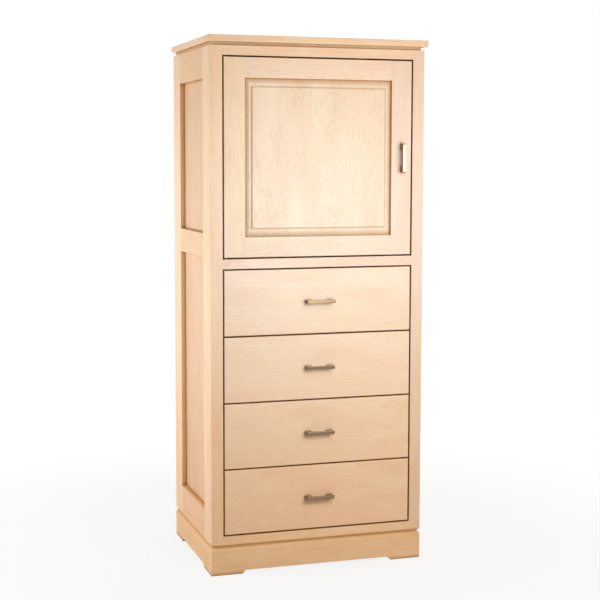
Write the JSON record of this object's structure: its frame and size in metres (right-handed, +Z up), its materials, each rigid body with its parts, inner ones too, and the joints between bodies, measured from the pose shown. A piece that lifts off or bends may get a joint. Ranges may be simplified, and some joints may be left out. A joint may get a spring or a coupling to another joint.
{
  "type": "highboard",
  "caption": "Tall narrow solid-wood cabinet with a raised-panel door over a stack of flush drawers, recessed side panels, bar handles and a plinth with cut-out feet.",
  "frame": {"origin": "middle of the bounding box at floor level", "axes": "+Z up, -Y out of the front, +X to the right as seen from the front"},
  "size_m": [0.64, 0.482, 1.5],
  "materials": {
    "wood_upright": "satin lacquer, grain along Z",
    "wood_across": "satin lacquer, grain along X",
    "wood_deep": "satin lacquer, grain along Y",
    "box_deep": "oiled drawer wood, grain along Y",
    "box_across": "oiled drawer wood, grain along X",
    "plywood": "raw plywood",
    "handle_metal": "brushed, light bronze tone",
    "steel": "zinc plated",
    "brass": "turned, tarnished",
    "plastic": "moulded"
  },
  "bodies": {
    "carcass": {"top_board": "wood_across", "sub_top": "wood_across", "face_stile_left": "wood_upright", "face_stile_right": "wood_upright", "face_rail_top": "wood_across", "face_rail_mid": "wood_across", "face_rail_bottom": "wood_across", "side_left_stiles": "wood_upright", "side_right_stiles": "wood_upright", "side_left_rails": "wood_deep", "side_right_rails": "wood_deep", "side_left_panels": "wood_upright", "side_right_panels": "wood_upright", "back_panel": "plywood", "floor_panel": "wood_across", "divider_panel": "wood_across", "shelf": "wood_across", "shelf_pins": "steel", "drawer_runners": "box_deep", "drawer_guides": "box_deep", "plinth_front": "wood_across", "plinth_back": "wood_across", "plinth_left": "wood_deep", "plinth_right": "wood_deep", "carcass_screws": "steel", "door_catch": "plastic", "pivot_bushes": "brass"},
    "door": {"door_stile_left": "wood_upright", "door_stile_right": "wood_upright", "door_rail_top": "wood_across", "door_rail_bottom": "wood_across", "door_panel": "wood_upright", "door_handle": "handle_metal", "door_handle_screws": "steel", "door_pivots": "steel", "door_strike": "steel"},
    "drawer_1": {"drawer_1_front": "wood_across", "drawer_1_sides": "box_deep", "drawer_1_back": "box_across", "drawer_1_bottom": "plywood", "drawer_1_handle": "handle_metal", "drawer_1_screws": "steel"},
    "drawer_2": {"drawer_2_front": "wood_across", "drawer_2_sides": "box_deep", "drawer_2_back": "box_across", "drawer_2_bottom": "plywood", "drawer_2_handle": "handle_metal", "drawer_2_screws": "steel"},
    "drawer_3": {"drawer_3_front": "wood_across", "drawer_3_sides": "box_deep", "drawer_3_back": "box_across", "drawer_3_bottom": "plywood", "drawer_3_handle": "handle_metal", "drawer_3_screws": "steel"},
    "drawer_4": {"drawer_4_front": "wood_across", "drawer_4_sides": "box_deep", "drawer_4_back": "box_across", "drawer_4_bottom": "plywood", "drawer_4_handle": "handle_metal", "drawer_4_screws": "steel"}
  },
  "joints": [
    {"name": "door_hinge", "type": "hinge", "parent": "carcass", "child": "door", "pos_m": [-0.27, -0.2095, 1.168], "axis": [0, 0, -1], "range_deg": [0, 105]},
    {"name": "drawer_1_slide", "type": "slide", "parent": "carcass", "child": "drawer_1", "axis": [0, -1, 0], "range_m": [0, 0.3]},
    {"name": "drawer_2_slide", "type": "slide", "parent": "carcass", "child": "drawer_2", "axis": [0, -1, 0], "range_m": [0, 0.3]},
    {"name": "drawer_3_slide", "type": "slide", "parent": "carcass", "child": "drawer_3", "axis": [0, -1, 0], "range_m": [0, 0.3]},
    {"name": "drawer_4_slide", "type": "slide", "parent": "carcass", "child": "drawer_4", "axis": [0, -1, 0], "range_m": [0, 0.3]}
  ]
}
